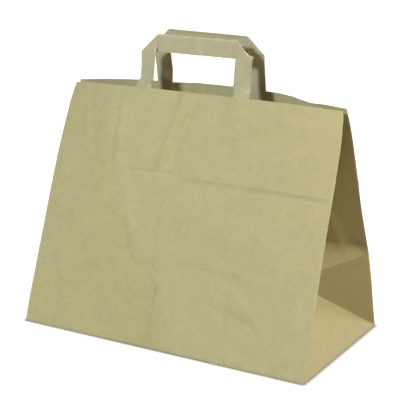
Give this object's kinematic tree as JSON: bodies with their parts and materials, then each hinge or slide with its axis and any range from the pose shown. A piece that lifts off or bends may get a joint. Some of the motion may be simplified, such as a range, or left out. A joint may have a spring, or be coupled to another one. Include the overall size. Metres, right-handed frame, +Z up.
{
  "type": "paper carrier bag",
  "caption": "Kraft paper carrier bag standing open on a folded block bottom, gussets tucked in at the mouth, with flat folded tape handles glued inside the rim.",
  "frame": {"origin": "centre of the bag's box on the surface it stands on", "axes": "+X to the right along the front panel, +Y from the front panel to the back panel, +Z up"},
  "size_m": [0.32, 0.1759, 0.3008],
  "materials": {
    "kraft": "matt",
    "kraft_tape": "matt",
    "kraft_patch": "matt"
  },
  "bodies": {
    "root": {"bag_body": "kraft", "front_handle": "kraft_tape", "back_handle": "kraft_tape", "front_handle_patch": "kraft_patch", "back_handle_patch": "kraft_patch"}
  },
  "joints": []
}
